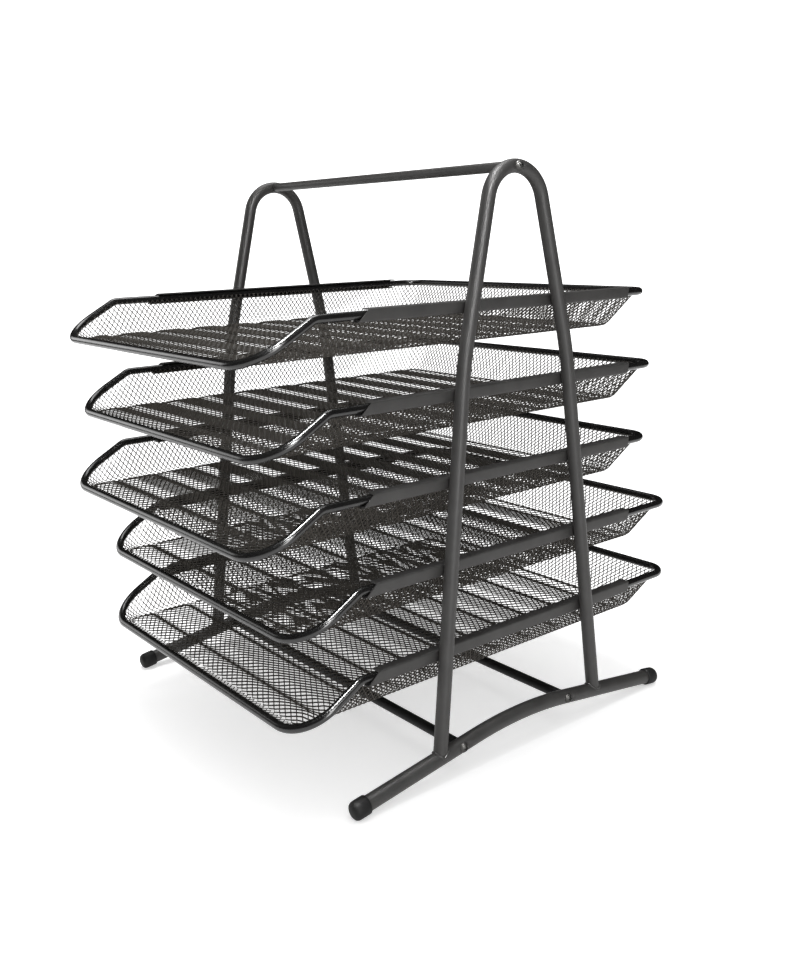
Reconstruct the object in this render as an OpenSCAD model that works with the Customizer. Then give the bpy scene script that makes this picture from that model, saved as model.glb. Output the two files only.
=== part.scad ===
// Five-tier letter tray stand: two tube hoops on arched feet carry five sliding mesh trays.
// X runs across the stand, the trays pull out towards -Y, and the floor is at Z = 0.

/* [Hoops] */
// Distance between the centre planes of the two side hoops
hoop_span = 294; // [240:1:360]
// Height of the tube's centre line at the top of a hoop
hoop_h = 394.5; // [325:0.5:480]
// Outside diameter of the hoop tube
tube_d = 9.5; // [8:0.1:11.5]
// Wall of the hoop tube
tube_wall = 1; // [0.8:0.1:1.4]
// Centre line radius of the bend at the top
apex_r = 25; // [22:1:36]
// Lean of the upper legs from upright, in degrees
upper_lean = 12.6; // [10:0.1:15]
// Lean of the lower legs from upright, in degrees
lower_lean = 6; // [4:0.5:8]
// Height at which a leg changes from one lean to the other
knee_z = 270; // [220:1:290]

/* [Feet] */
// Length of a foot over its end caps
foot_len = 292; // [240:1:360]
// Outside diameter of the foot bar's tube
foot_d = 10; // [8.4:0.1:12]
// Wall of the foot bar's tube
foot_wall = 1; // [0.8:0.1:1.5]
// Slope of the straight ends of a foot bar, in degrees
foot_rise = 8; // [5:0.5:11]
// Half length of the arch in the middle of a foot bar
arch_half = 43; // [30:1:43]
// Length of an end cap
cap_len = 12; // [10:1:20]
// Side wall of an end cap
cap_wall = 1; // [0.9:0.05:2]
// End wall of an end cap
cap_end = 2.5; // [1.5:0.1:4]
// Depth of the flat under an end cap
cap_flat = 0.85; // [0.5:0.05:1.1]
// Bevel around the end of a cap
cap_bevel = 1.2; // [0.5:0.1:1.5]

/* [Rods and screws] */
// Diameter of the handle rod and the base rods
rod_d = 7; // [5.5:0.1:8.5]
// Distance of the front base rod ahead of the middle of the foot
front_rod_y = 57; // [43:1:62]
// Distance of the rear base rod behind the middle of the foot
rear_rod_y = 44; // [43:1:62]
// Diameter of the screw shanks
screw_d = 4; // [3:0.1:4.5]
// Diameter of the screw heads
head_d = 7; // [6:0.1:9]
// Height of the domed screw heads
head_h = 2.2; // [1.5:0.1:3]
// Length of screw inside a rod
screw_bite = 10; // [6:1:16]
// Depth of the flat pressed into a tube at each screw
press_depth = 0.8; // [0.4:0.1:1]
// Length of that flat along the tube
press_len = 9; // [8:1:16]
// Width of the cross slots in a screw head
slot_w = 0.9; // [0.6:0.1:1.2]
// Depth of the cross slots
slot_depth = 1; // [0.6:0.1:1.3]

/* [Rails] */
// Sheet thickness of the rails
rail_t = 0.8; // [0.6:0.1:1.2]
// Width of a rail over its flanges
rail_w = 7; // [6.5:0.1:8]
// Distance of a rail's lower front corner ahead of the stand's middle
rail_front = 126.5; // [100:0.5:152]
// Distance of a rail's upper rear corner behind the stand's middle
rail_back = 122.5; // [100:0.5:147]
// How far the front end is cut back at the top
front_cut = 9; // [4:0.5:14]
// How far the rear end is cut back at the bottom
back_cut = 2; // [1:0.5:6]

/* [Trays] */
// Height of the lowest tray's rim
tier_low = 81; // [60:1:100]
// Height from one tray to the next
tier_pitch = 56; // [46:1:66]
// Diameter of the rim wire
rim_d = 5.6; // [4.8:0.1:6.6]
// Length of a tray from the fold at the front to the back of the rim
tray_len = 304; // [260:1:365]
// Horizontal length of the sloping front
front_reach = 42.5; // [35:0.5:51]
// Slope of the front, in degrees
front_slope = 30; // [20:1:34]
// Radius of the fold between side and front
fold_r = 10; // [6:0.5:14]
// Radius of the front corners
front_r = 28; // [16:1:32]
// Radius of the back corners
back_r = 15; // [10:1:24]
// Depth of a basket below the rim's centre
basket_depth = 25.5; // [25:0.5:31]
// How far the side walls lean in from rim to floor
side_run = 12; // [8:0.5:16]
// How far the back wall leans in from rim to floor
back_run = 20; // [10:0.5:26]
// How far the front wall leans in from rim to floor
front_run = 2; // [0.5:0.5:6]
// Radius of the floor's front corners
floor_front_r = 14; // [8:1:20]
// Radius of the floor's back corners
floor_back_r = 12; // [8:1:20]
// Sheet thickness of the basket
mesh_t = 0.8; // [0.6:0.1:1.2]

/* [Tray positions] */
// Pull of each tray from its pushed-in place, from the top tray down
tray_out = [27.5, 19.5, 26.5, 1, 2.5]; // [0:0.5:150]

/* [Clearances] */
// Gap between pieces that are welded or pushed together
seat_gap = 0.05; // [0.02:0.01:0.1]
// Running gap between a rim and its rails
run_gap = 0.4; // [0.3:0.05:0.6]
// Radial gap of a screw in the hole through a tube
hole_gap = 0.2; // [0.1:0.05:0.4]
// Radial gap of a screw in the tapped end of a rod
tap_gap = 0.05; // [0.02:0.01:0.1]
// Spare depth of the tapped hole past the screw's tip
tap_spare = 1; // [0.5:0.1:3]
// How far the fold starts inside the rail when a tray is pushed in
fold_lap = 1.2; // [0.5:0.1:1.5]

/* [Hidden] */
$fn = 64;
TIERS = 5;
SIDES = ["left", "right"];

steel_black = "#2b2a29";
steel_dark = "#3a3938";
plastic_black = "#171717";
zinc_black = "#4a4948";

// Collars at the joints of a bent bar, and a size that is past everything
joint_len = 0.6;
joint_lap = 0.2;
far = 1000;

// Hoop and foot centre lines
hoop_x = hoop_span / 2;
tube_r = tube_d / 2;
cap_d = foot_d + 2 * seat_gap + 2 * cap_wall;
foot_half = foot_len / 2;
foot_end_z = cap_d / 2 * cos(foot_rise) - cap_flat;
arch_r = arch_half / sin(foot_rise);
arch_z = foot_z(arch_half) - arch_r * cos(foot_rise);
apex_z = hoop_h - apex_r;
leg_top = [apex_r * cos(upper_lean), apex_z + apex_r * sin(upper_lean)];
upper_len = (leg_top[1] - knee_z) / cos(upper_lean);
knee_y = leg_top[0] + upper_len * sin(upper_lean);
leg_y = (knee_y + (knee_z - foot_z(0)) * tan(lower_lean)) / (1 - tan(foot_rise) * tan(lower_lean));
lower_len = (knee_z - foot_z(leg_y)) / cos(lower_lean);

// Rods, screws and their flats
press_x = tube_r - press_depth;
rod_half = hoop_x - press_x - seat_gap;
tube_box = 2 * max(tube_d, foot_d);
base_rods = [-front_rod_y, rear_rod_y];
tap_depth = screw_bite + tap_spare;

// Rails and rims
rim_r = rim_d / 2;
rail_h = rim_d + 2 * run_gap + 2 * rail_t;
rail_x = hoop_x - tube_r - joint_lap / 2 - seat_gap;
rim_x = rail_x - rail_t - run_gap - rim_r;
fold_len = fold_r * tan(front_slope / 2);
front_len = front_reach / cos(front_slope);
fold_y = -rail_front + fold_lap - fold_len;

// Basket outlines: where the wall starts at the rim, and the edge of the floor
wall_inset = rim_r + joint_lap / 2 + seat_gap;
sheet_run = mesh_t / cos(atan2(back_run, basket_depth));
arc_steps = 6;

// The stand is shifted so that the whole part, trays included, is centred on the origin
front_end = front_reach - fold_y + max(tray_out) + rim_r;
back_end = fold_y + tray_len + rim_r - min(tray_out);
stand_y = (front_end - back_end) / 2;

// Height of a foot bar's centre line over its straight ends
function foot_z(y) = foot_end_z + (foot_half - y) * tan(foot_rise);
function tier_z(tier) = tier_low + tier_pitch * (TIERS - tier);
function side_sign(side) = side == "left" ? -1 : 1;

// Turns a drawing in the XY plane to stand in the stand's YZ plane
module upright() {
    rotate([90, 0, 90]) children();
}

module at_hoop(side) {
    translate([side_sign(side) * hoop_x, stand_y, 0]) children();
}

// A straight length of round bar along +X, and an arc of it about the origin
module straight(len, d) {
    rotate([0, 90, 0]) cylinder(h = len, d = d);
}

module arc(r, from, to, d) {
    rotate([0, 0, from]) rotate_extrude(angle = to - from) translate([r, 0]) circle(d = d);
}

// A thin collar that closes the joint where a straight length meets a bend
module joint(at, angle, d) {
    translate(at) rotate([0, 0, angle]) translate([-joint_len / 2, 0, 0])
        straight(joint_len, d + joint_lap);
}

// A hoop's centre line swept with diameter d, drawn in the XY plane
module hoop_path(d) {
    translate([0, apex_z]) arc(apex_r, upper_lean, 180 - upper_lean, d);
    for (flip = [0, 1]) {
        mirror([flip, 0, 0]) {
            joint(leg_top, upper_lean - 90, d);
            translate(leg_top) rotate([0, 0, upper_lean - 90]) straight(upper_len, d);
            joint([knee_y, knee_z], (upper_lean + lower_lean) / 2 - 90, d);
            translate([knee_y, knee_z]) rotate([0, 0, lower_lean - 90]) straight(lower_len, d);
        }
    }
}

// The two sloping ends of a foot bar swept with diameter d, drawn in the XY plane
module foot_ends(d) {
    end_len = (foot_half - arch_half) / cos(foot_rise) - cap_end - seat_gap;
    for (flip = [0, 1]) {
        mirror([flip, 0, 0]) translate([arch_half, foot_z(arch_half)]) rotate([0, 0, -foot_rise])
            straight(end_len, d);
    }
}

// A whole foot bar: the ends and the arch between them
module foot_path(d) {
    foot_ends(d);
    translate([0, arch_z]) arc(arch_r, 90 - foot_rise, 90 + foot_rise, d);
    for (flip = [0, 1]) {
        mirror([flip, 0, 0]) joint([arch_half, foot_z(arch_half)], -foot_rise, d);
    }
}

// Shapes a tube at one screw: the bore stops there, both sides are flat and a hole runs through
module press_zone(at) {
    translate(at) cube([press_len, tube_box, tube_box], center = true);
}

module press_flats(at) {
    for (face = [-1, 1]) {
        translate([at[0], at[1], face * (press_x + tube_box / 2)])
            cube([press_len, tube_box, tube_box], center = true);
    }
    translate([at[0], at[1], -tube_box / 2]) cylinder(h = tube_box, d = screw_d + 2 * hole_gap);
}

module hoop(side) {
    apex = [0, hoop_h];
    color(steel_dark) at_hoop(side) upright() difference() {
        hoop_path(tube_d);
        difference() {
            hoop_path(tube_d - 2 * tube_wall);
            press_zone(apex);
        }
        press_flats(apex);
        foot_ends(foot_d + 2 * seat_gap);
    }
}

module foot_bar(side) {
    color(steel_dark) at_hoop(side) upright() difference() {
        foot_path(foot_d);
        difference() {
            foot_path(foot_d - 2 * foot_wall);
            for (y = base_rods) press_zone([y, foot_z(abs(y))]);
        }
        for (y = base_rods) press_flats([y, foot_z(abs(y))]);
    }
}

module cap(end, side) {
    flip = end == "front" ? 1 : 0;
    cap_r = cap_d / 2;
    bore_r = foot_d / 2 + seat_gap;
    color(plastic_black) difference() {
        at_hoop(side) mirror([0, flip, 0]) translate([0, foot_half, foot_end_z])
            rotate([90 - foot_rise, 0, 0]) rotate_extrude()
                polygon([
                    [0, 0], [cap_r - cap_bevel, 0], [cap_r, cap_bevel], [cap_r, cap_len],
                    [bore_r, cap_len], [bore_r, cap_end], [0, cap_end]
                ]);
        translate([0, 0, -far / 2]) cube(far, center = true);
    }
}

// A round rod between the two sides, with a tapped hole in each end
module rod(y, z) {
    color(steel_black) translate([-rod_half, stand_y + y, z]) difference() {
        straight(2 * rod_half, rod_d);
        straight(tap_depth, screw_d + 2 * tap_gap);
        translate([2 * rod_half - tap_depth, 0, 0]) straight(tap_depth, screw_d + 2 * tap_gap);
    }
}

// A domed cross-slot screw in the side at the sign given, pointing inwards
module screw(sign, y, z) {
    head_r = head_d / 2;
    dome_r = (head_r * head_r + head_h * head_h) / (2 * head_h);
    translate([sign * (hoop_x + press_x + seat_gap), stand_y + y, z]) mirror([sign < 0 ? 1 : 0, 0, 0])
        difference() {
            union() {
                rotate([0, 90, 0]) intersection() {
                    cylinder(h = head_h, d = head_d);
                    translate([0, 0, head_h - dome_r]) sphere(dome_r);
                }
                translate([-2 * press_x - 2 * seat_gap - screw_bite, 0, 0])
                    straight(2 * press_x + 2 * seat_gap + screw_bite, screw_d);
            }
            for (turn = [0, 90]) {
                rotate([turn, 0, 0]) translate([head_h, 0, 0])
                    cube([2 * slot_depth, head_d / 2, slot_w], center = true);
            }
        }
}

module handle_screws() {
    color(zinc_black) for (sign = [-1, 1]) screw(sign, 0, hoop_h);
}

module base_screws() {
    color(zinc_black) for (sign = [-1, 1], y = base_rods) screw(sign, y, foot_z(abs(y)));
}

// A channel open towards the middle of the stand, with slanted ends
module rail(tier, side) {
    half = rail_h / 2;
    color(steel_dark) mirror([side_sign(side) < 0 ? 1 : 0, 0, 0])
        translate([rail_x - rail_w, stand_y, tier_z(tier)]) difference() {
            rotate([90, 0, 90]) linear_extrude(rail_w) polygon([
                [-rail_front, -half], [rail_back - back_cut, -half],
                [rail_back, half], [front_cut - rail_front, half]
            ]);
            translate([rail_w - rail_t - far, -far / 2, rail_t - half])
                cube([far, far, rail_h - 2 * rail_t]);
        }
}

module at_tray(tier) {
    translate([0, stand_y + fold_y - tray_out[tier - 1], tier_z(tier)]) children();
}

// One side of a rim, drawn with the fold line along X at the origin
module rim_side() {
    corner_x = rim_x - back_r;
    side_end = tray_len - back_r;
    front_x = rim_x - front_r;
    front_end_y = front_len - front_r;
    translate([0, tray_len, 0]) straight(corner_x, rim_d);
    translate([corner_x, side_end, 0]) arc(back_r, 0, 90, rim_d);
    translate([rim_x, fold_len, 0]) rotate([0, 0, 90]) straight(side_end - fold_len, rim_d);
    joint([rim_x, fold_len, 0], 90, rim_d);
    translate([rim_x, fold_len, -fold_r]) upright() arc(fold_r, 90, 90 + front_slope, rim_d);
    rotate([front_slope, 0, 0]) {
        joint([rim_x, -fold_len, 0], 90, rim_d);
        translate([rim_x, -front_end_y, 0]) rotate([0, 0, 90]) straight(front_end_y - fold_len, rim_d);
        translate([front_x, -front_end_y, 0]) arc(front_r, -90, 0, rim_d);
        translate([0, -front_len, 0]) straight(front_x, rim_d);
    }
}

module rim(tier) {
    color(steel_black) at_tray(tier) {
        rim_side();
        mirror([1, 0, 0]) rim_side();
    }
}

// Points of a quarter turn about a centre, from one angle to another
function turn(centre, r, from, to) = [
    for (step = [0:arc_steps])
        let (a = from + (to - from) * step / arc_steps) centre + r * [cos(a), sin(a)]
];
function mirrored(half) = concat(
    half, [for (i = [len(half) - 1:-1:0]) [-half[i][0], half[i][1], half[i][2]]]
);

// Ring at the rim: the rim's own centre line, moved in by an inset, with the front folded down
function rim_ring(inset) = mirrored(concat(
    [for (p = turn([rim_x - front_r, front_r - front_len], front_r - inset, -90, 0))
        [p[0], p[1] * cos(front_slope), p[1] * sin(front_slope)]],
    [[rim_x - inset, 0, 0]],
    [for (p = turn([rim_x - back_r, tray_len - back_r], back_r - inset, 0, 90)) [p[0], p[1], 0]]
));

// Ring around the floor, at a height, moved in by an inset
function floor_ring(z, inset) =
    let (
        x = rim_x - wall_inset - side_run,
        front = (wall_inset - front_len) * cos(front_slope) + front_run,
        back = tray_len - wall_inset - back_run
    )
    mirrored(concat(
        [for (p = turn([x - floor_front_r, front + floor_front_r], floor_front_r - inset, -90, 0))
            [p[0], p[1], z]],
        [[x - inset, 0, z]],
        [for (p = turn([x - floor_back_r, back - floor_back_r], floor_back_r - inset, 0, 90))
            [p[0], p[1], z]]
    ));

// Two triangles for each step between rings a and b of n points
function band(a, b, n) = [
    for (i = [0:n - 1]) let (j = (i + 1) % n) each [
        [a * n + i, b * n + i, a * n + j],
        [a * n + j, b * n + i, b * n + j]
    ]
];

module basket(tier) {
    outer_top = rim_ring(wall_inset);
    outer_floor = floor_ring(-basket_depth, 0);
    inner_floor = floor_ring(mesh_t - basket_depth, sheet_run);
    inner_top = rim_ring(wall_inset + sheet_run);
    n = len(outer_top);
    color(steel_black) at_tray(tier) polyhedron(
        points = concat(outer_top, outer_floor, inner_floor, inner_top),
        faces = concat(
            band(0, 1, n), [[for (i = [n - 1:-1:0]) n + i]],
            [[for (i = [0:n - 1]) 2 * n + i]], band(2, 3, n), band(3, 0, n)
        )
    );
}

for (side = SIDES) {
    hoop(side);
    foot_bar(side);
    for (end = ["front", "rear"]) {
        cap(end, side);
    }
    for (tier = [1:TIERS]) {
        rail(tier, side);
    }
}
rod(0, hoop_h);  // handle_rod
rod(-front_rod_y, foot_z(front_rod_y));  // front_base_rod
rod(rear_rod_y, foot_z(rear_rod_y));  // rear_base_rod
handle_screws();
base_screws();
for (tier = [1:TIERS]) {
    rim(tier);
    basket(tier);
}
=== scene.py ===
from math import cos, pi, radians, sin, tan

import bmesh
import bpy
from bpy.props import FloatProperty, FloatVectorProperty, PointerProperty
from mathutils import Matrix, Vector


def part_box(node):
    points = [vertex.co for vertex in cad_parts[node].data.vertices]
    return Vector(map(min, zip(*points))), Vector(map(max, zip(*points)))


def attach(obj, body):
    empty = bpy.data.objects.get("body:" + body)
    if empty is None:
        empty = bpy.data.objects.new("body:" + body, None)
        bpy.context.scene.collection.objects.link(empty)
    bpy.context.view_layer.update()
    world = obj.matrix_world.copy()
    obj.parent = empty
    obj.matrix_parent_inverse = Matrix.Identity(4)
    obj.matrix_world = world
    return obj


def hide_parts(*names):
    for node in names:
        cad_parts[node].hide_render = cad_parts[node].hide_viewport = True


bl_info = {
    "name": "Mesh Letter Tray Stand",
    "version": (1, 0, 0),
    "blender": (4, 5, 0),
    "location": "View3D > Sidebar > Letter Trays",
    "description": "Models the visible pieces of a five-tier mesh letter tray stand over its frame",
    "category": "Mesh",
}

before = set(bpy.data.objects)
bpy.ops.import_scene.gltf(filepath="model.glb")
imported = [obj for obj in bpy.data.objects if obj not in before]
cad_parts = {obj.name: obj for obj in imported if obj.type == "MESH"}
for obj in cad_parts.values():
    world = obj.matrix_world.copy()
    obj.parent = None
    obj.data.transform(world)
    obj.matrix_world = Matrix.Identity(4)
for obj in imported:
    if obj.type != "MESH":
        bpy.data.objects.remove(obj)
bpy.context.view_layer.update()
TIERS = range(1, 6)
SIDES = {"left": -1, "right": 1}
# Distance within which two points count as one
NEAR = 1e-6
# Distance from the middle plane within which a point counts as lying on it
ON_MIDDLE = 1e-7


def middle(node):
    """Centre of a node's box."""
    low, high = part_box(node)
    return (Vector(low) + Vector(high)) / 2


STAND_Y = middle("handle_rod").y


# Sizes and colours that a user would change

def length(name, description, default):
    return FloatProperty(
        name=name, description=description, default=default, min=0, unit="LENGTH", precision=5,
    )


def slope(name, description, default):
    return FloatProperty(name=name, description=description, default=radians(default), subtype="ANGLE")


def paint(name, description, default):
    return FloatVectorProperty(
        name=name, description=description, default=default, size=3, min=0, max=1, subtype="COLOR",
    )


class StandSizes(bpy.types.PropertyGroup):
    """Sizes of the hoops, feet and rails"""
    hoop_x: length("Hoop offset", "Distance of a hoop from the middle of the stand", middle("right_hoop").x)
    hoop_h: length("Hoop height", "Height of the hoop's centre line at the top", middle("handle_rod").z)
    tube_r: length("Hoop tube", "Radius of the hoop tube", 0.00475)
    apex_r: length("Top bend", "Centre line radius of the bend at the top", 0.025)
    upper_lean: slope("Upper lean", "Lean of the upper legs from upright", 12.6)
    lower_lean: slope("Lower lean", "Lean of the lower legs from upright", 6)
    knee_z: length("Knee height", "Height at which a leg changes its lean", 0.270)
    knee_r: length("Knee bend", "Centre line radius of the bend at the knee", 0.300)
    foot_half: length("Foot half length", "Half the length of a foot over its caps", 0.146)
    foot_r: length("Foot tube", "Radius of the foot bar's tube", 0.005)
    foot_rise: slope("Foot slope", "Slope of a foot bar's straight ends", 8)
    foot_end_z: length("Foot end height", "Height of the foot's centre line at the end of a cap", 0.005141)
    arch_half: length("Arch half length", "Half the length of the arch in a foot", 0.043)
    cap_r: length("Cap radius", "Outside radius of an end cap", 0.00605)
    cap_len: length("Cap length", "Length of an end cap", 0.012)
    cap_wall: length("Cap wall", "Thickness of a cap's closed end", 0.0039)
    cap_play: length("Cap play", "Gap between a foot bar and the bore of its cap", 0.00005)
    bar_inset: length("Bar inset", "Distance of a foot bar's end from the end of its cap", 0.004)
    press_depth: length("Press depth", "Depth of the flat pressed into a tube at a screw", 0.0008)
    press_len: length("Press length", "Length of that flat along the tube", 0.009)
    press_fade: length("Press fade", "Length over which that flat runs out into the round", 0.0018)
    rail_t: length("Rail sheet", "Sheet thickness of a rail", 0.0008)
    rail_bend: length("Rail bend", "Outside radius of the bends along a rail", 0.0012)
    rail_play: length("Rail play", "Gap between a rail's web and the rim that runs in it", 0.0004)
    front_cut: length("Front cut", "How far a rail's front end is cut back at the top", 0.009)
    back_cut: length("Back cut", "How far a rail's rear end is cut back at the bottom", 0.002)
    bead_r: length("Weld bead", "Radius of a weld bead", 0.0010)


class TraySizes(bpy.types.PropertyGroup):
    """Sizes of the rims and baskets"""
    rim_r: length("Rim wire", "Radius of the rim wire", 0.0028)
    rim_len: length("Tray length", "Length from the fold at the front to the back of the rim", 0.304)
    front_reach: length("Front reach", "Horizontal length of the sloping front", 0.0425)
    front_slope: slope("Front slope", "Slope of the front", 30)
    fold_r: length("Fold", "Radius of the fold between side and front", 0.010)
    front_r: length("Front corner", "Radius of the rim's front corners", 0.028)
    back_r: length("Back corner", "Radius of the rim's back corners", 0.015)
    depth: length("Depth", "Depth of a basket below the rim's centre", 0.0255)
    side_run: length("Side run", "How far the side walls lean in", 0.012)
    back_run: length("Back run", "How far the back wall leans in", 0.020)
    front_run: length("Front run", "How far the front wall leans in", 0.002)
    floor_front_r: length("Floor front corner", "Radius of the floor's front corners", 0.014)
    floor_back_r: length("Floor back corner", "Radius of the floor's back corners", 0.012)
    basket_gap: length("Basket gap", "Gap between a basket's sheet and its rim", 0.00015)
    edge_bend: length("Floor edge", "Reach of the bend between floor and wall", 0.0035)
    sheet: length("Sheet", "Height of the mesh's middle above the basket's underside", 0.0004)
    cell_x: length("Long diagonal", "Long diagonal of a diamond in the mesh", 0.0067)
    cell_y: length("Short diagonal", "Short diagonal of a diamond in the mesh", 0.0041)
    strand: length("Strand width", "Width of a strand seen square to the mesh", 0.0006)
    floor_t: length("Floor strand depth", "Depth of a strand through the floor", 0.00076)
    wall_t: length("Wall strand depth", "Depth of a strand through the drawn-out wall", 0.00045)
    rib_first: length("First rib", "Distance of one rib's middle behind the fold line", 0.0019)
    rib_pitch: length("Rib pitch", "Distance from one floor rib to the next", 0.0307)
    rib_h: length("Rib height", "Height of a floor rib", 0.0022)
    rib_top: length("Rib top", "Width of the flat top of a rib", 0.0140)
    rib_flank: length("Rib flank", "Width of the slope at each side of a rib", 0.0080)
    rib_fade: length("Rib fade", "Distance from the floor's edge over which a rib rises", 0.010)


class Finishes(bpy.types.PropertyGroup):
    """Colours of the paints, the plastic and the plating"""
    stand: paint("Stand", "Powder coat of the hoops, feet, rails and handle rod", (0.044, 0.0425, 0.041))
    rim: paint("Rims", "Powder coat of the rim wires", (0.010, 0.0097, 0.0094))
    mesh: paint("Mesh", "Powder coat of the baskets", (0.040, 0.0355, 0.030))
    # The base rods' paint is much darker than the handle rod's as painted shade: it stands for the shadow of
    # the trays above them, not for a different paint.
    rod: paint("Base rods", "Powder coat of the base rods", (0.004, 0.0039, 0.0038))
    cap: paint("Caps", "Plastic of the end caps", (0.010, 0.010, 0.010))
    screw: paint("Screws", "Black zinc of the screws", (0.05, 0.049, 0.047))


def stand():
    return bpy.context.scene.letter_tray_stand


def tray():
    return bpy.context.scene.letter_tray_tray


def colours():
    return bpy.context.scene.letter_tray_finishes


# Materials

class Shade:
    """A socket in a material's tree, or the tree alone. Arithmetic on sockets adds Math nodes."""

    def __init__(self, tree, socket=None):
        self.tree = tree
        self.socket = socket

    def node(self, kind, settings, inputs, output=0):
        """Adds a node of any kind, sets it, fills its sockets with values or links and gives one output."""
        made = self.tree.nodes.new(kind)
        for name, value in settings.items():
            setattr(made, name, value)
        for name, value in inputs.items():
            if isinstance(value, Shade):
                self.tree.links.new(value.socket, made.inputs[name])
            else:
                made.inputs[name].default_value = value
        return Shade(self.tree, made.outputs[output])

    def maths(self, operation, first, second):
        return self.node("ShaderNodeMath", {"operation": operation}, {0: first, 1: second})

    def __add__(self, other):
        return self.maths("ADD", self, other)

    __radd__ = __add__

    def __sub__(self, other):
        return self.maths("SUBTRACT", self, other)

    def __rsub__(self, other):
        return self.maths("SUBTRACT", other, self)

    def __mul__(self, other):
        return self.maths("MULTIPLY", self, other)

    __rmul__ = __mul__


def new_material(name, constants):
    """A material whose Principled shader holds its constant values."""
    material = bpy.data.materials.new(name)
    material.use_nodes = True
    shader = material.node_tree.nodes["Principled BSDF"]
    for socket, value in constants.items():
        shader.inputs[socket].default_value = value
    return material, shader


def place_on(material):
    """The place on the object, by which a finish is drawn."""
    return Shade(material.node_tree).node("ShaderNodeTexCoord", {}, {}, "Object")


def speckle(place, grains, detail):
    """Noise of a given number of grains to the metre."""
    return place.node("ShaderNodeTexNoise", {}, {"Vector": place, "Scale": grains, "Detail": detail}, "Fac")


def tint(share, colour, darkest, lightest):
    """A colour that varies between a darker and a lighter shade of itself."""
    first, second = ((*(channel * level for channel in colour), 1) for level in (darkest, lightest))
    return share.node("ShaderNodeMix", {"data_type": "RGBA"}, {"Factor": share, 6: first, 7: second}, 2)


def relief(height, strength, distance):
    """The normal of a finely bumped surface."""
    return height.node("ShaderNodeBump", {}, {"Strength": strength, "Distance": distance, "Height": height})


def wire_up(shader, **links):
    """Links shades to the shader's sockets."""
    for name, value in links.items():
        value.tree.links.new(value.socket, shader.inputs[name.replace("_", " ")])


def powder_coat(name, colour, rough, gloss, grain=1400.0, bump=0.00002):
    """Baked powder paint: faint orange peel, a little mottling and uneven gloss."""
    material, shader = new_material(name, {"Specular IOR Level": gloss, "IOR": 1.5})
    place = place_on(material)
    mottle = speckle(place, grains=70.0, detail=3.0)
    peel = speckle(place, grains=grain, detail=1.0)
    by_mottle, by_peel = 0.12, 0.06
    smoothest = rough - (by_mottle + by_peel) / 2
    wire_up(
        shader,
        Base_Color=tint(mottle, colour, darkest=0.72, lightest=1.32),
        Roughness=smoothest + by_mottle * mottle + by_peel * peel,
        Normal=relief(peel, strength=0.35, distance=bump),
    )
    return material


def moulded_plastic(name, colour):
    """Matt moulded plastic with a fine spark-eroded grain."""
    material, shader = new_material(name, {"Specular IOR Level": 0.15})
    place = place_on(material)
    grain = speckle(place, grains=2600.0, detail=2.0)
    cloud = speckle(place, grains=160.0, detail=2.0)
    smoothest, by_cloud = 0.5, 0.16
    wire_up(
        shader,
        Base_Color=tint(cloud, colour, darkest=0.75, lightest=1.5),
        Roughness=smoothest + by_cloud * cloud,
        Normal=relief(grain, strength=0.4, distance=0.00003),
    )
    return material


def black_zinc(name, colour):
    """Plated screw steel with fine scratches and uneven gloss."""
    material, shader = new_material(name, {"Metallic": 0.85})
    place = place_on(material)
    stretched = place.node("ShaderNodeMapping", {}, {"Vector": place, "Scale": (1.0, 6.0, 1.0)})
    scratch = speckle(stretched, grains=1800.0, detail=4.0)
    smoothest, by_scratch = 0.36, 0.24
    wire_up(
        shader,
        Base_Color=tint(scratch, colour, darkest=0.6, lightest=1.7),
        Roughness=smoothest + by_scratch * scratch,
        Normal=relief(scratch, strength=0.25, distance=0.00002),
    )
    return material


def finish(name):
    """The finish of that name, made when first asked for. The frame's own materials have other names."""
    ready = bpy.data.materials.get(name)
    if ready:
        return ready
    paints = colours()
    makers = {
        "stand_coat": lambda: powder_coat(name, paints.stand, rough=0.46, gloss=0.25),
        "rim_coat": lambda: powder_coat(
            name, paints.rim, rough=0.22, gloss=0.5, grain=900.0, bump=0.000008,
        ),
        "mesh_coat": lambda: powder_coat(name, paints.mesh, rough=0.5, gloss=0.15),
        # A darker copy of the rods' powder coat, as painted shade for the base rods that sit under the trays.
        "shaded_rod_coat": lambda: powder_coat(name, paints.rod, rough=0.45, gloss=0.2),
        "matt_plastic": lambda: moulded_plastic(name, paints.cap),
        "screw_zinc": lambda: black_zinc(name, paints.screw),
    }
    return makers[name]()


# Mesh tools

def frame_at(point, heading, side):
    """A frame at a point with its Z axis along a heading and its X axis near a side direction."""
    z = Vector(heading).normalized()
    x = Vector(side)
    x = (x - z * x.dot(z)).normalized()
    y = z.cross(x)
    turned = Matrix((x, y, z)).transposed().to_4x4()
    return Matrix.Translation(point) @ turned


class Course:
    """The centre line of a bent bar, as a row of frames whose Z axes run along the bar."""

    def __init__(self, start):
        self.at = start
        self.frames = [start]

    def step(self, move):
        self.at = self.at @ move
        self.frames.append(self.at)

    def line(self, distance, steps=1):
        for _ in range(steps):
            self.step(Matrix.Translation((0, 0, distance / steps)))

    def bend(self, radius, angle, axis, steps):
        """Turns about the frame's own X or Y axis, by the right-hand rule."""
        reach = radius if angle > 0 else -radius
        centre = Vector((0, -reach, 0)) if axis == "X" else Vector((reach, 0, 0))
        turn = Matrix.Rotation(angle / steps, 4, axis)
        move = Matrix.Translation(centre) @ turn @ Matrix.Translation(-centre)
        for _ in range(steps):
            self.step(move)


def only(kind, parts):
    """The parts of one kind in an operator's result."""
    return [part for part in parts if isinstance(part, kind)]


def ring_edges(verts):
    """The edges that join a ring of vertices."""
    chosen = set(verts)
    edges = (edge for vert in verts for edge in vert.link_edges if edge.other_vert(vert) in chosen)
    return list(dict.fromkeys(edges))


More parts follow.
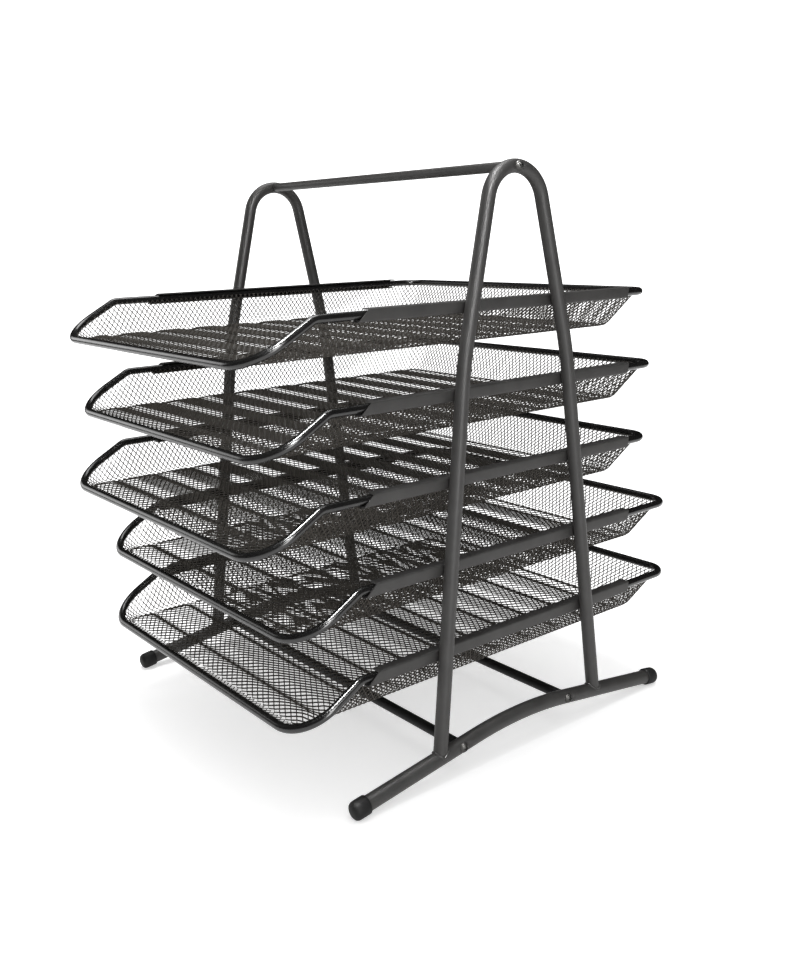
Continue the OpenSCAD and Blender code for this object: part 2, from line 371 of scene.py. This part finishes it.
def sweep(bm, frames, radius, sides, closed=False):
    """Draws a round bar along a row of frames and returns its vertices."""
    ring = bmesh.ops.create_circle(bm, segments=sides, radius=radius, matrix=frames[0])["verts"]
    first = edges = ring_edges(ring)
    drawn = list(ring)
    for before, after in zip(frames, frames[1:]):
        grown = bmesh.ops.extrude_edge_only(bm, edges=edges)["geom"]
        ring = only(bmesh.types.BMVert, grown)
        bmesh.ops.transform(bm, matrix=after @ before.inverted(), verts=ring)
        edges = ring_edges(ring)
        drawn += ring
    if closed:
        bmesh.ops.bridge_loops(bm, edges=first + edges)
    else:
        bmesh.ops.edgeloop_fill(bm, edges=first)
        bmesh.ops.edgeloop_fill(bm, edges=edges)
    return drawn


def ease(share):
    """Smooth step from 0 to 1."""
    share = min(max(share, 0.0), 1.0)
    return share * share * (3 - 2 * share)


def press(verts, centre, size, radius):
    """Presses a flat into both sides of a tube at a screw."""
    flat = size.tube_r - size.press_depth
    fade = size.press_fade
    for vert in verts:
        away = vert.co - centre
        if abs(away.z) > 2 * radius:
            continue
        share = ease((abs(away.y) - size.press_len / 2 + fade / 2) / fade)
        limit = flat + (radius - flat) * share
        vert.co.x = centre.x + min(max(away.x, -limit), limit)


def settle(bm, name, body, coat, nodes, sharp=40):
    """Makes a bmesh a finished piece that rides on a body and stands for some nodes.

    Edges that turn by more than the sharp angle, in degrees, stay crisp. At 0 the whole piece is smooth.
    """
    bmesh.ops.recalc_face_normals(bm, faces=bm.faces)
    for face in bm.faces:
        face.smooth = True
    mesh = bpy.data.meshes.new(name)
    bm.to_mesh(mesh)
    bm.free()
    if sharp:
        mesh.set_sharp_from_angle(angle=radians(sharp))
    mesh.materials.append(finish(coat))
    piece = bpy.data.objects.new(name, mesh)
    bpy.context.scene.collection.objects.link(piece)
    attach(piece, body)
    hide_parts(*nodes)


def coat_node(node, coat):
    """Paints a carried-over node."""
    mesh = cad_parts[node].data
    mesh.materials.clear()
    mesh.materials.append(finish(coat))


# Hoops and feet

def foot_z(size, y):
    """Height of a foot bar's centre line over its straight ends."""
    return size.foot_end_z + (size.foot_half - y) * tan(size.foot_rise)


def leg_line(size):
    """Distance of a leg's foot from the middle, and the lengths of its lower and upper parts."""
    top_z = size.hoop_h - size.apex_r + size.apex_r * sin(size.upper_lean)
    top = Vector((size.apex_r * cos(size.upper_lean), top_z))
    upper = (top.y - size.knee_z) / cos(size.upper_lean)
    knee = top.x + upper * sin(size.upper_lean)
    drop = tan(size.lower_lean)
    leg_y = (knee + (size.knee_z - foot_z(size, 0)) * drop) / (1 - tan(size.foot_rise) * drop)
    lower = (size.knee_z - foot_z(size, leg_y)) / cos(size.lower_lean)
    return leg_y, lower, upper


def weld(bm, base, way, size):
    """Runs a rippled weld bead round a leg where it stands on the foot bar."""
    up = Vector((0, -way * sin(size.lower_lean), cos(size.lower_lean)))
    across = Vector((0, up.z, -up.y))
    square = Vector((0, way * sin(size.foot_rise), cos(size.foot_rise)))
    steps, sides = 72, 8
    thinnest, ripple, ripple_steps = 0.92, 0.12, 4
    points, outs = [], []
    for step in range(steps):
        a = 2 * pi * step / steps
        out = Vector((cos(a), 0, 0)) + across * sin(a)
        climb = (size.foot_r ** 2 - (size.tube_r * cos(a)) ** 2) ** 0.5
        climb = (climb - size.tube_r * out.dot(square)) / up.dot(square)
        points.append(base + out * size.tube_r + up * climb)
        outs.append(out)
    frames = [frame_at(points[i], points[(i + 1) % steps] - points[i - 1], outs[i]) for i in range(steps)]
    bead = sweep(bm, frames, size.bead_r, sides, closed=True)
    for i, point in enumerate(points):
        swell = thinnest + ripple * abs(sin(i * pi / ripple_steps))
        ring = bead[i * sides:(i + 1) * sides]
        bmesh.ops.scale(bm, vec=(swell, swell, swell), space=Matrix.Translation(-point), verts=ring)


class LETTERTRAY_OT_hoops(bpy.types.Operator):
    """Bend the two side hoops"""
    bl_idname = "letter_tray.hoops"
    bl_label = "Side Hoops"

    def execute(self, context):
        size = stand()
        leg_y, lower, upper = leg_line(size)
        turn = size.upper_lean - size.lower_lean
        knee = size.knee_r * tan(turn / 2)
        for side, sign in SIDES.items():
            bm = bmesh.new()
            x = sign * size.hoop_x
            foot = Vector((x, STAND_Y - leg_y, foot_z(size, leg_y)))
            course = Course(frame_at(foot, (0, sin(size.lower_lean), cos(size.lower_lean)), (1, 0, 0)))
            course.line(lower - knee, steps=6)
            course.bend(size.knee_r, -turn, "X", steps=8)
            course.line(upper - knee, steps=4)
            course.bend(size.apex_r, 2 * size.upper_lean - pi, "X", steps=56)
            course.line(upper - knee, steps=4)
            course.bend(size.knee_r, -turn, "X", steps=8)
            course.line(lower - knee, steps=6)
            tube = sweep(bm, course.frames, size.tube_r, sides=32)
            press(tube, Vector((x, STAND_Y, size.hoop_h)), size, size.tube_r)
            for way in (-1, 1):
                weld(bm, Vector((x, STAND_Y + way * leg_y, foot.z)), way, size)
            settle(bm, f"{side}_hoop_tube", "stand", "stand_coat", [f"{side}_hoop"])
        return {"FINISHED"}


class LETTERTRAY_OT_feet(bpy.types.Operator):
    """Bend the two arched foot bars"""
    bl_idname = "letter_tray.feet"
    bl_label = "Foot Bars"

    def execute(self, context):
        size = stand()
        arch_r = size.arch_half / sin(size.foot_rise)
        for side, sign in SIDES.items():
            bm = bmesh.new()
            x = sign * size.hoop_x
            start = size.foot_half - size.bar_inset
            end = Vector((x, STAND_Y - start, foot_z(size, start)))
            run = (start - size.arch_half) / cos(size.foot_rise)
            course = Course(frame_at(end, (0, cos(size.foot_rise), sin(size.foot_rise)), (1, 0, 0)))
            course.line(run, steps=60)
            course.bend(arch_r, -2 * size.foot_rise, "X", steps=64)
            course.line(run, steps=60)
            tube = sweep(bm, course.frames, size.foot_r, sides=32)
            for rod in ("front_base_rod", "rear_base_rod"):
                at = middle(rod)
                press(tube, Vector((x, at.y, at.z)), size, size.foot_r)
            settle(bm, f"{side}_foot_tube", "stand", "stand_coat", [f"{side}_foot_bar"])
        return {"FINISHED"}


# Outline of a cap's crown: share of its radius, and how far from its closed end
CAP_CROWN = ((0.0, 0.0003), (0.55, 0.0004))
# Outline of its rounded edge: how far inside its radius, and how far from its closed end
CAP_NOSE = ((0.0018, 0.0008), (0.0007, 0.0016), (0.0001, 0.0030), (0.0, 0.0050))
# Outline of its lip: how far inside its radius, and how far from its open end
CAP_LIP = ((0.0, 0.0009), (0.0004, 0.0002), (0.0009, 0.0))


def cap_outline(size):
    """Half the section of an end cap, as distances from its axis and along it."""
    bore = size.foot_r + size.cap_play
    crown = [(size.cap_r * share, along) for share, along in CAP_CROWN]
    nose = [(size.cap_r - inside, along) for inside, along in CAP_NOSE]
    lip = [(size.cap_r - inside, size.cap_len - short) for inside, short in CAP_LIP]
    hole = [(bore, size.cap_len), (bore, size.cap_wall), (0, size.cap_wall)]
    return crown + nose + lip + hole


class LETTERTRAY_OT_caps(bpy.types.Operator):
    """Mould the four end caps"""
    bl_idname = "letter_tray.caps"
    bl_label = "End Caps"

    def execute(self, context):
        size = stand()
        for end, way in (("front", 1), ("rear", -1)):
            for side, sign in SIDES.items():
                bm = bmesh.new()
                verts = [bm.verts.new((across, 0, along)) for across, along in cap_outline(size)]
                edges = [bm.edges.new(pair) for pair in zip(verts, verts[1:])]
                bmesh.ops.spin(
                    bm, geom=verts + edges, cent=(0, 0, 0), axis=(0, 0, 1),
                    angle=2 * pi, steps=40, use_merge=True,
                )
                bmesh.ops.remove_doubles(bm, verts=bm.verts, dist=NEAR)
                corner = Vector((sign * size.hoop_x, STAND_Y - way * size.foot_half, size.foot_end_z))
                axis = (0, way * cos(size.foot_rise), sin(size.foot_rise))
                bmesh.ops.transform(bm, matrix=frame_at(corner, axis, (1, 0, 0)), verts=bm.verts)
                cut = bmesh.ops.bisect_plane(
                    bm, geom=bm.verts[:] + bm.edges[:] + bm.faces[:],
                    plane_co=(0, 0, 0), plane_no=(0, 0, 1), clear_inner=True,
                )["geom_cut"]
                bmesh.ops.edgeloop_fill(bm, edges=only(bmesh.types.BMEdge, cut))
                settle(
                    bm, f"{end}_{side}_cap_shell", "stand", "matt_plastic",
                    [f"{end}_{side}_cap"], sharp=50,
                )
        return {"FINISHED"}


class LETTERTRAY_OT_rods(bpy.types.Operator):
    """Paint the rods and plate the screws"""
    bl_idname = "letter_tray.rods"
    bl_label = "Rods and Screws"

    def execute(self, context):
        coat_node("handle_rod", "stand_coat")
        for node in ("front_base_rod", "rear_base_rod"):
            # The base rods take the darker coat as painted shade under the trays; the handle rod, of the same
            # real paint, takes the stand's coat.
            coat_node(node, "shaded_rod_coat")
        for node in ("handle_screws", "base_screws"):
            coat_node(node, "screw_zinc")
        return {"FINISHED"}


class LETTERTRAY_OT_rails(bpy.types.Operator):
    """Fold the ten rails from sheet"""
    bl_idname = "letter_tray.rails"
    bl_label = "Rails"

    def execute(self, context):
        size = stand()
        for tier in TIERS:
            for side, sign in SIDES.items():
                node = f"tray_{tier}_{side}_rail"
                low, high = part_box(node)
                inner, outer = (low[0], high[0]) if sign > 0 else (high[0], low[0])
                bm = bmesh.new()
                profile = [(inner, high[2]), (outer, high[2]), (outer, low[2]), (inner, low[2])]
                verts = [bm.verts.new((x, low[1], z)) for x, z in profile]
                edges = [bm.edges.new(pair) for pair in zip(verts, verts[1:])]
                grown = bmesh.ops.extrude_edge_only(bm, edges=edges)["geom"]
                far_end = only(bmesh.types.BMVert, grown)
                bmesh.ops.translate(bm, vec=(0, high[1] - low[1], 0), verts=far_end)
                folds = [edge for edge in bm.edges if len(edge.link_faces) == 2]
                bmesh.ops.bevel(
                    bm, geom=folds, offset=size.rail_bend, offset_type="OFFSET", segments=5, profile=0.5,
                    affect="EDGES", material=-1, clamp_overlap=True,
                )
                bmesh.ops.recalc_face_normals(bm, faces=bm.faces)
                back = max(bm.faces, key=lambda face: face.calc_area() * abs(face.normal.x))
                thick = size.rail_t if back.normal.x * sign > 0 else -size.rail_t
                bmesh.ops.solidify(bm, geom=bm.faces[:], thickness=thick)
                half = (low[1] + high[1]) / 2
                for vert in bm.verts:
                    rise = (vert.co.z - low[2]) / (high[2] - low[2])
                    if vert.co.y < half:
                        vert.co.y = low[1] + size.front_cut * rise
                    else:
                        vert.co.y = high[1] - size.back_cut * (1 - rise)
                settle(
                    bm, f"tray_{tier}_{side}_channel", "stand", "stand_coat", [node], sharp=30,
                )
        return {"FINISHED"}


# Trays

def tray_place(tier):
    """The point on a tray's fold line from which its rim and basket are drawn."""
    size = tray()
    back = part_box(f"tray_{tier}_rim")[1][1]
    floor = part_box(f"tray_{tier}_basket")[0][2]
    return Vector((0, back - size.rim_len - size.rim_r, floor + size.depth))


def rim_x_of(size):
    """Distance of the rim wire's centre line from the middle."""
    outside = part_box("tray_1_right_rail")[1][0]
    return outside - stand().rail_t - stand().rail_play - size.rim_r


class LETTERTRAY_OT_rims(bpy.types.Operator):
    """Bend the five rim wires"""
    bl_idname = "letter_tray.rims"
    bl_label = "Tray Rims"

    def execute(self, context):
        size = tray()
        x = rim_x_of(size)
        fold = size.fold_r * tan(size.front_slope / 2)
        front_len = size.front_reach / cos(size.front_slope)
        quarter = -pi / 2
        for tier in TIERS:
            bm = bmesh.new()
            start = tray_place(tier) + Vector((0, size.rim_len, 0))
            course = Course(frame_at(start, (1, 0, 0), (0, 0, 1)))
            course.line(x - size.back_r, steps=2)
            course.bend(size.back_r, quarter, "X", steps=14)
            course.line(size.rim_len - size.back_r - fold, steps=6)
            course.bend(size.fold_r, -size.front_slope, "Y", steps=8)
            course.line(front_len - size.front_r - fold, steps=2)
            course.bend(size.front_r, quarter, "X", steps=18)
            course.line(2 * (x - size.front_r), steps=8)
            course.bend(size.front_r, quarter, "X", steps=18)
            course.line(front_len - size.front_r - fold, steps=2)
            course.bend(size.fold_r, -size.front_slope, "Y", steps=8)
            course.line(size.rim_len - size.back_r - fold, steps=6)
            course.bend(size.back_r, quarter, "X", steps=14)
            course.line(x - size.back_r, steps=2)
            sweep(bm, course.frames[:-1], size.rim_r, sides=24, closed=True)
            settle(bm, f"tray_{tier}_rim_wire", f"tray_{tier}", "rim_coat", [f"tray_{tier}_rim"])
        return {"FINISHED"}


def diamonds(bm, columns, rows):
    """Fills a unit square with a lattice of diamonds."""
    bmesh.ops.create_grid(bm, x_segments=columns, y_segments=rows, size=0.5)
    old = [edge for edge in bm.edges if len(edge.link_faces) == 2]
    bmesh.ops.poke(bm, faces=bm.faces[:])
    bmesh.ops.dissolve_edges(bm, edges=old, use_verts=False)
    bmesh.ops.translate(bm, vec=(0.5, 0.5, 0), verts=bm.verts)


def drop_halves(bm, faces):
    """Removes the half diamonds along an edge, so that the lattice ends in points."""
    bmesh.ops.delete(bm, geom=[face for face in faces if len(face.verts) == 3], context="FACES")


def trim(bm, point, normal):
    """Cuts away everything on the far side of a plane."""
    bmesh.ops.bisect_plane(
        bm, geom=bm.verts[:] + bm.edges[:] + bm.faces[:], dist=NEAR,
        plane_co=point, plane_no=normal, clear_outer=True,
    )


# Share of the rim wire's radius by which a wall ends inside the wire's centre line
WALL_TUCK = 0.8
# Height of the sheet of which a wall is cut, which is more than any wall needs
WALL_BLANK = 0.037


class Basket:
    """The outlines of a basket, drawn with the fold line along X at the origin."""

    def __init__(self, size):
        self.size = size
        self.rim_x = rim_x_of(size)
        self.inset = size.rim_r * WALL_TUCK
        self.front_len = size.front_reach / cos(size.front_slope)
        gap = size.rim_r + size.basket_gap
        self.x = self.rim_x - gap - size.side_run
        self.front = (gap - self.front_len) * cos(size.front_slope) + size.front_run
        self.back = size.rim_len - gap - size.back_run
        self.z = size.sheet - size.depth
        self.parts = self.half_parts()
        self.half = sum(part[0] for part in self.parts)

    def sloped(self, x, y):
        """A point of the rim ahead of the fold."""
        return Vector((x, y * cos(self.size.front_slope), y * sin(self.size.front_slope)))

    def half_parts(self):
        """The right half of the basket's wall, from the front's middle to the back's middle.

        Each part holds its length and a rule for the floor's edge, its outward direction and the rim's edge.
        """
        size = self.size
        rf, rb = size.floor_front_r, size.floor_back_r
        top_f, top_b = size.front_r - self.inset, size.back_r - self.inset
        fx, fy = self.rim_x - size.front_r, size.front_r - self.front_len
        bx, by = self.rim_x - size.back_r, size.rim_len - size.back_r
        side = self.rim_x - self.inset

        def line(floor_a, floor_b, out, rim_a, rim_b):
            far = ((floor_b - floor_a).length + (rim_b - rim_a).length) / 2
            return far, lambda t: (floor_a.lerp(floor_b, t), Vector(out), rim_a.lerp(rim_b, t))

        def flat(x, y):
            return Vector((x, y, self.z))

        def front_corner(t):
            a = pi / 2 * (t - 1)
            out = Vector((cos(a), sin(a), 0))
            rim = self.sloped(fx + top_f * cos(a), fy + top_f * sin(a))
            return flat(self.x - rf, self.front + rf) + rf * out, out, rim

        def back_corner(t):
            a = pi / 2 * t
            out = Vector((cos(a), sin(a), 0))
            return flat(self.x - rb, self.back - rb) + rb * out, out, Vector((bx, by, 0)) + top_b * out

        return [
            line(flat(0, self.front), flat(self.x - rf, self.front), (0, -1, 0),
                 self.sloped(0, fy - top_f), self.sloped(fx, fy - top_f)),
            (pi / 4 * (rf + top_f), front_corner),
            line(flat(self.x, self.front + rf), flat(self.x, 0), (1, 0, 0),
                 self.sloped(side, fy), Vector((side, 0, 0))),
            line(flat(self.x, 0), flat(self.x, self.back - rb), (1, 0, 0),
                 Vector((side, 0, 0)), Vector((side, by, 0))),
            (pi / 4 * (rb + top_b), back_corner),
            line(flat(self.x - rb, self.back), flat(0, self.back), (0, 1, 0),
                 Vector((bx, by + top_b, 0)), Vector((0, by + top_b, 0))),
        ]

    def edge(self, along):
        """Floor edge, outward direction and rim edge at a distance along the whole wall."""
        flip = along > self.half
        along = 2 * self.half - along if flip else along
        for far, rule in self.parts:
            if along <= far or rule is self.parts[-1][1]:
                floor, out, rim = rule(min(along / far, 1.0))
                break
            along -= far
        if flip:
            floor, out, rim = (Vector((-v.x, v.y, v.z)) for v in (floor, out, rim))
        return floor, out, rim

    def wall(self, along, up):
        """A point of the wall at a distance along it and a distance up from the floor."""
        floor, out, rim = self.edge(along)
        rise = (rim - floor).normalized()
        reach = self.size.edge_bend
        if up > 2 * reach:
            return floor + rise * (up - reach)
        t = up / (2 * reach)
        return floor - out * reach * (1 - t) ** 2 + rise * reach * t * t

    def floor_margin(self, point):
        """Distance of a point of the floor from the floor's own edge."""
        size = self.size
        x = self.x - size.edge_bend - abs(point.x)
        y = min(point.y - self.front, self.back - point.y) - size.edge_bend
        return min(x, y)

    def rib(self, point):
        """Height of the pressed ribs at a point of the floor."""
        size = self.size
        half = size.rib_pitch / 2
        away = abs((point.y - size.rib_first + half) % size.rib_pitch - half)
        share = 1 - (away - size.rib_top / 2) / size.rib_flank
        return size.rib_h * ease(share) * ease(self.floor_margin(point) / size.rib_fade)


def mesh_wall(basket):
    """The wall of a basket as a lattice, cut off along the rim."""
    size = basket.size
    bm = bmesh.new()
    round_len = 2 * basket.half
    diamonds(bm, round(round_len / size.cell_y), round(WALL_BLANK / size.cell_x))
    drop_halves(bm, [face for face in bm.faces if min(vert.co.y for vert in face.verts) < NEAR])
    for vert in bm.verts:
        vert.co = basket.wall(vert.co.x * round_len, vert.co.y * WALL_BLANK)
    seam = [vert for vert in bm.verts if abs(vert.co.x) < ON_MIDDLE and vert.is_boundary]
    bmesh.ops.remove_doubles(bm, verts=seam, dist=NEAR)
    closing = [
        edge for edge in bm.edges
        if len(edge.link_faces) == 2
        and all(abs(vert.co.x) < ON_MIDDLE and vert.co.y < 0 for vert in edge.verts)
    ]
    bmesh.ops.dissolve_edges(bm, edges=closing, use_verts=False)
    trim(bm, (0, 0, 0), (0, 0, 1))
    trim(bm, (0, 0, 0), (0, -sin(size.front_slope), cos(size.front_slope)))
    return bm


def mesh_floor(basket):
    """The ribbed floor of a basket as a lattice, rounded at its corners."""
    size = basket.size
    bm = bmesh.new()
    half = basket.x - size.edge_bend
    front = basket.front + size.edge_bend
    back = basket.back - size.edge_bend
    diamonds(bm, round(2 * half / size.cell_x), round((back - front) / size.cell_y))
    drop_halves(bm, bm.faces[:])
    for vert in bm.verts:
        vert.co = Vector(((2 * vert.co.x - 1) * half, front + vert.co.y * (back - front), basket.z))
    cuts = 7
    for side in SIDES.values():
        for y, radius, way in ((front, size.floor_front_r, -1), (back, size.floor_back_r, 1)):
            r = radius - size.edge_bend
            for step in range(cuts):
                a = pi / 2 * (step + 0.5) / cuts
                out = Vector((side * cos(a), way * sin(a), 0))
                trim(bm, Vector((side * (half - r), y - way * r, 0)) + out * r, out)
    for vert in bm.verts:
        vert.co.z += basket.rib(vert.co)
    return bm


def strands(bm, size, depth):
    """Opens the cells of a lattice, so that flat strands of metal are left between them.

    Whole cells get strands of even width, and cells cut short at an edge plainer ones. Crumbs stay closed.
    """
    crumb, cut, stretched = 0.3, 0.8, 9.0
    shortest_edge = 1e-4
    bmesh.ops.dissolve_degenerate(bm, dist=shortest_edge, edges=bm.edges[:])
    bmesh.ops.recalc_face_normals(bm, faces=bm.faces)
    whole = size.cell_x * size.cell_y / 2
    for even, least, most in ((True, cut, stretched), (False, crumb, cut)):
        cells = [face for face in bm.faces if least < face.calc_area() / whole <= most]
        bmesh.ops.inset_individual(bm, faces=cells, thickness=size.strand / 2, use_even_offset=even)
        bmesh.ops.delete(bm, geom=cells, context="FACES")
    bm.normal_update()
    lift = bm.verts.layers.float_vector.new("lift")
    under = bm.verts[:]
    for vert in under:
        vert[lift] = vert.normal * (depth / 2)
    grown = bmesh.ops.extrude_face_region(bm, geom=bm.faces[:], use_keep_orig=True)["geom"]
    for vert in under:
        vert.co -= vert[lift]
    for vert in only(bmesh.types.BMVert, grown):
        vert.co += vert[lift]
    bm.verts.layers.float_vector.remove(lift)


class LETTERTRAY_OT_baskets(bpy.types.Operator):
    """Weave the floors and walls of the five baskets"""
    bl_idname = "letter_tray.baskets"
    bl_label = "Mesh Baskets"

    def execute(self, context):
        size = tray()
        basket = Basket(size)
        sheets = {"floor": (mesh_floor(basket), size.floor_t), "wall": (mesh_wall(basket), size.wall_t)}
        for part, (sheet, depth) in sheets.items():
            strands(sheet, size, depth)
            for tier in TIERS:
                bm = sheet.copy()
                bmesh.ops.translate(bm, vec=tray_place(tier), verts=bm.verts)
                settle(
                    bm, f"tray_{tier}_{part}_mesh", f"tray_{tier}", "mesh_coat",
                    [f"tray_{tier}_basket"], sharp=0,
                )
            sheet.free()
        return {"FINISHED"}


# Stage

class LETTERTRAY_OT_stage(bpy.types.Operator):
    """Lay the floor, hang the lights and set the camera"""
    bl_idname = "letter_tray.stage"
    bl_label = "Stage"

    def execute(self, context):
        self.floor(context.scene)
        self.room(context.scene)
        self.lamp("overhead", (-0.35, 0.2, 1.9), aim=(0, 0.05, 0), wide=1.2, high=1.2, power=30)
        gleams = (
            self.lamp(
                "left_box", (-2, -0.9, 0.7), aim=(0, -0.15, 0.28),
                wide=1.1, high=1.1, power=1, beam=50,
            ),
            self.lamp(
                "front_bank", (0.38, -0.56, 1.8), aim=(0.38, -0.14, 0),
                wide=0.42, high=0.75, power=7, beam=24,
            ),
            self.lamp(
                "right_strip", (1.15, -0.36, 0.4), aim=(0, -0.05, 0.3),
                wide=0.3, high=0.9, power=14,
            ),
            self.lamp(
                "right_spot", (1.23, -0.63, 1.22), aim=(0.1, 0, 0.38),
                wide=0.35, high=0.35, power=1.5, beam=20,
            ),
        )
        for gleam in gleams:
            gleam.visible_diffuse = False
        self.view(context.scene)
        return {"FINISHED"}

    def floor(self, scene):
        """A round white floor with a little light of its own, which keeps the shadows pale."""
        bm = bmesh.new()
        bmesh.ops.create_circle(bm, cap_ends=True, radius=1.5, segments=96)
        mesh = bpy.data.meshes.new("pale_floor")
        bm.to_mesh(mesh)
        bm.free()
        floor = bpy.data.objects.new("pale_floor", mesh)
        scene.collection.objects.link(floor)
        white = (0.9, 0.9, 0.9, 1)
        lit_white = {
            "Base Color": white, "Roughness": 0.6, "Emission Color": white, "Emission Strength": 0.54,
        }
        mesh.materials.append(new_material("pale_floor", lit_white)[0])

    def room(self, scene):
        """A white room that fills the shadows, and is left out of reflections so that the lamps draw them."""
        world = bpy.data.worlds.new("white_room")
        world.use_nodes = True
        glow = world.node_tree.nodes["Background"]
        seen = Shade(world.node_tree).node("ShaderNodeLightPath", {}, {}, "Is Camera Ray")
        fill, backdrop = 0.75, 1.8
        strength = backdrop * seen + fill * (1 - seen)
        world.node_tree.links.new(strength.socket, glow.inputs["Strength"])
        glow.inputs["Color"].default_value = (1, 1, 1, 1)
        world.cycles_visibility.glossy = False
        scene.world = world
        scene.view_settings.view_transform = "Standard"

    def lamp(self, name, place, aim, wide, high, power, beam=180):
        """Hangs a soft box that faces a point, with its power in watts and its beam's angle in degrees."""
        data = bpy.data.lights.new(name, "AREA")
        data.shape = "RECTANGLE"
        data.size, data.size_y, data.energy, data.spread = wide, high, power, radians(beam)
        lamp = bpy.data.objects.new(name, data)
        heading = Vector(place) - Vector(aim)
        lamp.matrix_world = Matrix.Translation(place) @ heading.to_track_quat("Z", "Y").to_matrix().to_4x4()
        bpy.context.scene.collection.objects.link(lamp)
        return lamp

    def view(self, scene):
        """Sets the camera where the photograph was taken from."""
        data = bpy.data.cameras.new("photo_view")
        data.lens = 38.04
        data.shift_y = -0.138
        camera = bpy.data.objects.new("photo_view", data)
        place = (0.62322, STAND_Y - 0.48246, 0.35346)
        azimuth, elevation, roll = radians(51.212), radians(6.599), radians(-1.391)
        back = Vector((sin(azimuth) * cos(elevation), -cos(azimuth) * cos(elevation), sin(elevation)))
        right = Vector((0, 0, 1)).cross(back).normalized()
        up = back.cross(right)
        across = right * cos(roll) + up * sin(roll)
        above = up * cos(roll) - right * sin(roll)
        turned = Matrix((across, above, back)).transposed().to_4x4()
        camera.matrix_world = Matrix.Translation(place) @ turned
        scene.collection.objects.link(camera)
        scene.camera = camera


OPERATORS = (
    LETTERTRAY_OT_hoops,
    LETTERTRAY_OT_feet,
    LETTERTRAY_OT_caps,
    LETTERTRAY_OT_rods,
    LETTERTRAY_OT_rails,
    LETTERTRAY_OT_rims,
    LETTERTRAY_OT_baskets,
    LETTERTRAY_OT_stage,
)


class LETTERTRAY_PT_panel(bpy.types.Panel):
    """Letter tray pieces"""
    bl_label = "Letter Trays"
    bl_idname = "LETTERTRAY_PT_panel"
    bl_space_type = "VIEW_3D"
    bl_region_type = "UI"
    bl_category = "Letter Trays"

    def draw(self, context):
        for group in (stand(), tray(), colours()):
            column = self.layout.column()
            for name in group.__annotations__:
                column.prop(group, name)
        for operator in OPERATORS:
            self.layout.operator(operator.bl_idname)


CLASSES = (StandSizes, TraySizes, Finishes, *OPERATORS, LETTERTRAY_PT_panel)


def register():
    for cls in CLASSES:
        bpy.utils.register_class(cls)
    bpy.types.Scene.letter_tray_stand = PointerProperty(type=StandSizes)
    bpy.types.Scene.letter_tray_tray = PointerProperty(type=TraySizes)
    bpy.types.Scene.letter_tray_finishes = PointerProperty(type=Finishes)


def unregister():
    del bpy.types.Scene.letter_tray_finishes
    del bpy.types.Scene.letter_tray_tray
    del bpy.types.Scene.letter_tray_stand
    for cls in reversed(CLASSES):
        bpy.utils.unregister_class(cls)


def main():
    register()
    steps = bpy.ops.letter_tray
    steps.hoops()
    steps.feet()
    steps.caps()
    steps.rods()
    steps.rails()
    steps.rims()
    steps.baskets()
    steps.stage()


if __name__ == "__main__":
    main()
